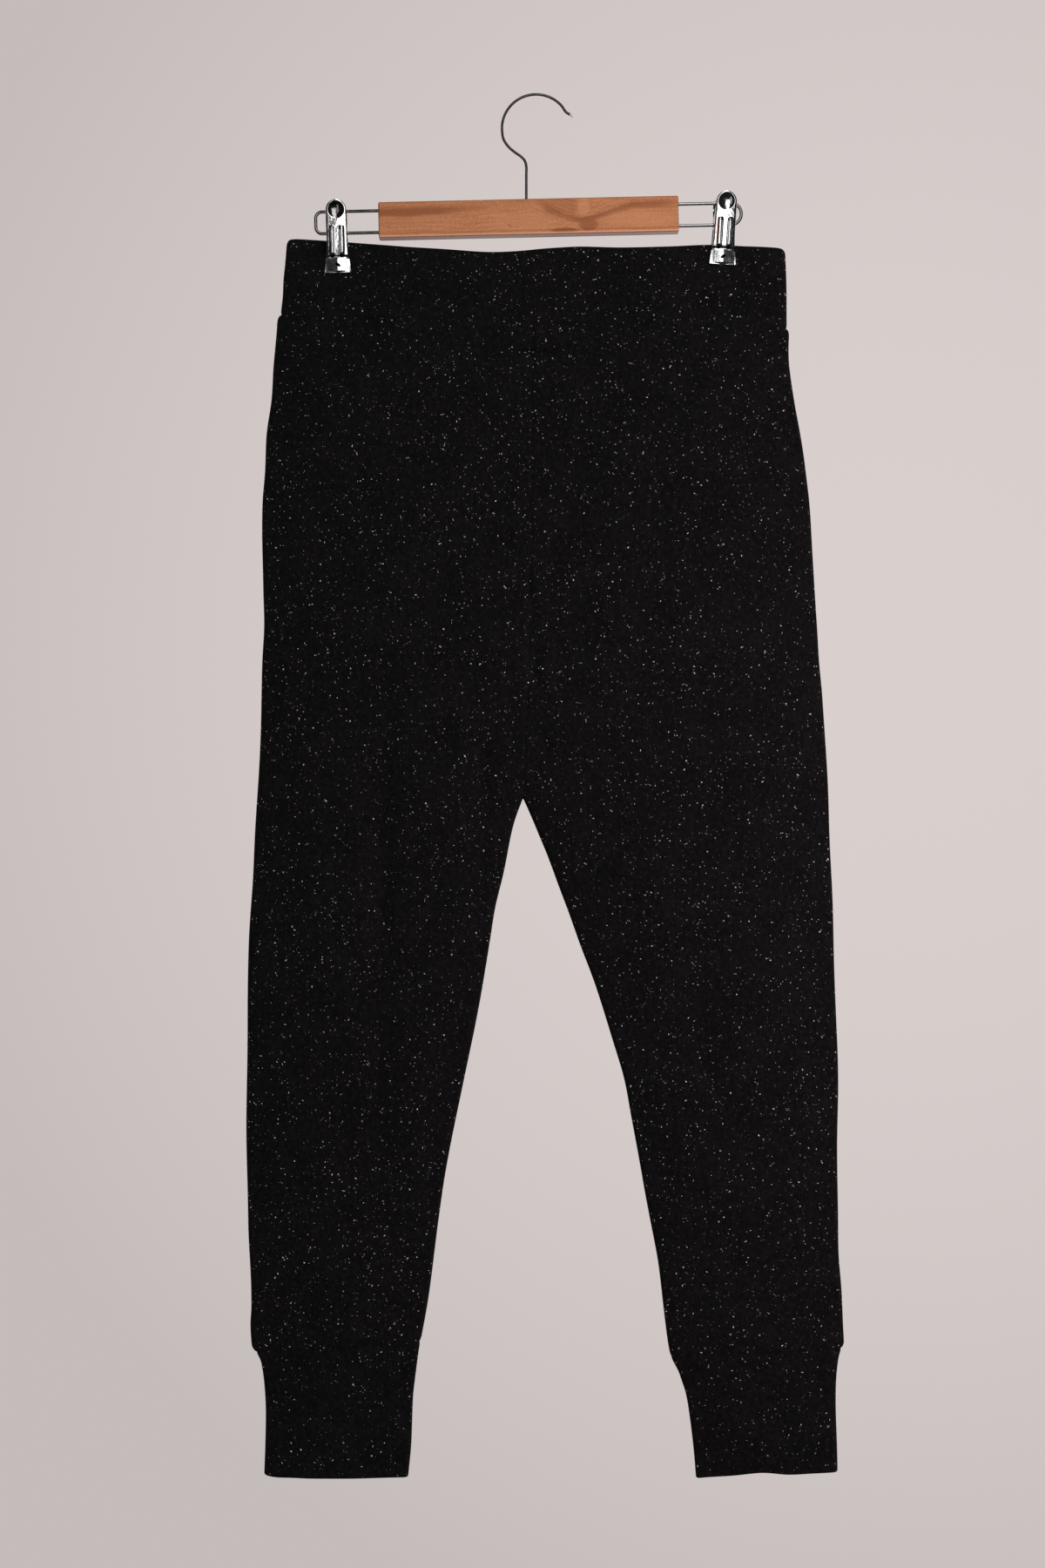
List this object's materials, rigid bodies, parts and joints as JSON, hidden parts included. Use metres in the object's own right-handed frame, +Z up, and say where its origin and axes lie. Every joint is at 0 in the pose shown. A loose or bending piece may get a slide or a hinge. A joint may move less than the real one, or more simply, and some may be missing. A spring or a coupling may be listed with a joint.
{
  "type": "track pants on a wooden clip hanger",
  "caption": "Loose knit track pants with a deep waistband, tapered legs and long cuffs, hung flat by the waistband from a wooden clip hanger.",
  "frame": {"origin": "inner crown of the hook, where the hanger hangs on its rail", "axes": "+Z up, the front of the garment faces -Y, +X is to the right as seen from in front"},
  "size_m": [0.487, 0.031, 1.1276],
  "materials": {
    "black_knit": "matt knit with fine metallic flecks",
    "oiled_wood": "oiled, satin",
    "bright_wire": "drawn wire, bright",
    "chromed_steel": "pressed sheet, chromed"
  },
  "bodies": {
    "root": {"waistband_front": "black_knit", "waistband_back": "black_knit", "front_left": "black_knit", "front_right": "black_knit", "back_left": "black_knit", "back_right": "black_knit", "cuff_left": "black_knit", "cuff_right": "black_knit", "pocket_facing_left": "black_knit", "pocket_facing_right": "black_knit", "hanger_bar": "oiled_wood", "hanger_hook": "bright_wire", "wire_loop_left": "bright_wire", "wire_loop_right": "bright_wire", "clip_front_left": "chromed_steel", "clip_back_left": "chromed_steel", "clip_front_right": "chromed_steel", "clip_back_right": "chromed_steel", "clip_spring_left": "bright_wire", "clip_spring_right": "bright_wire"}
  },
  "joints": []
}
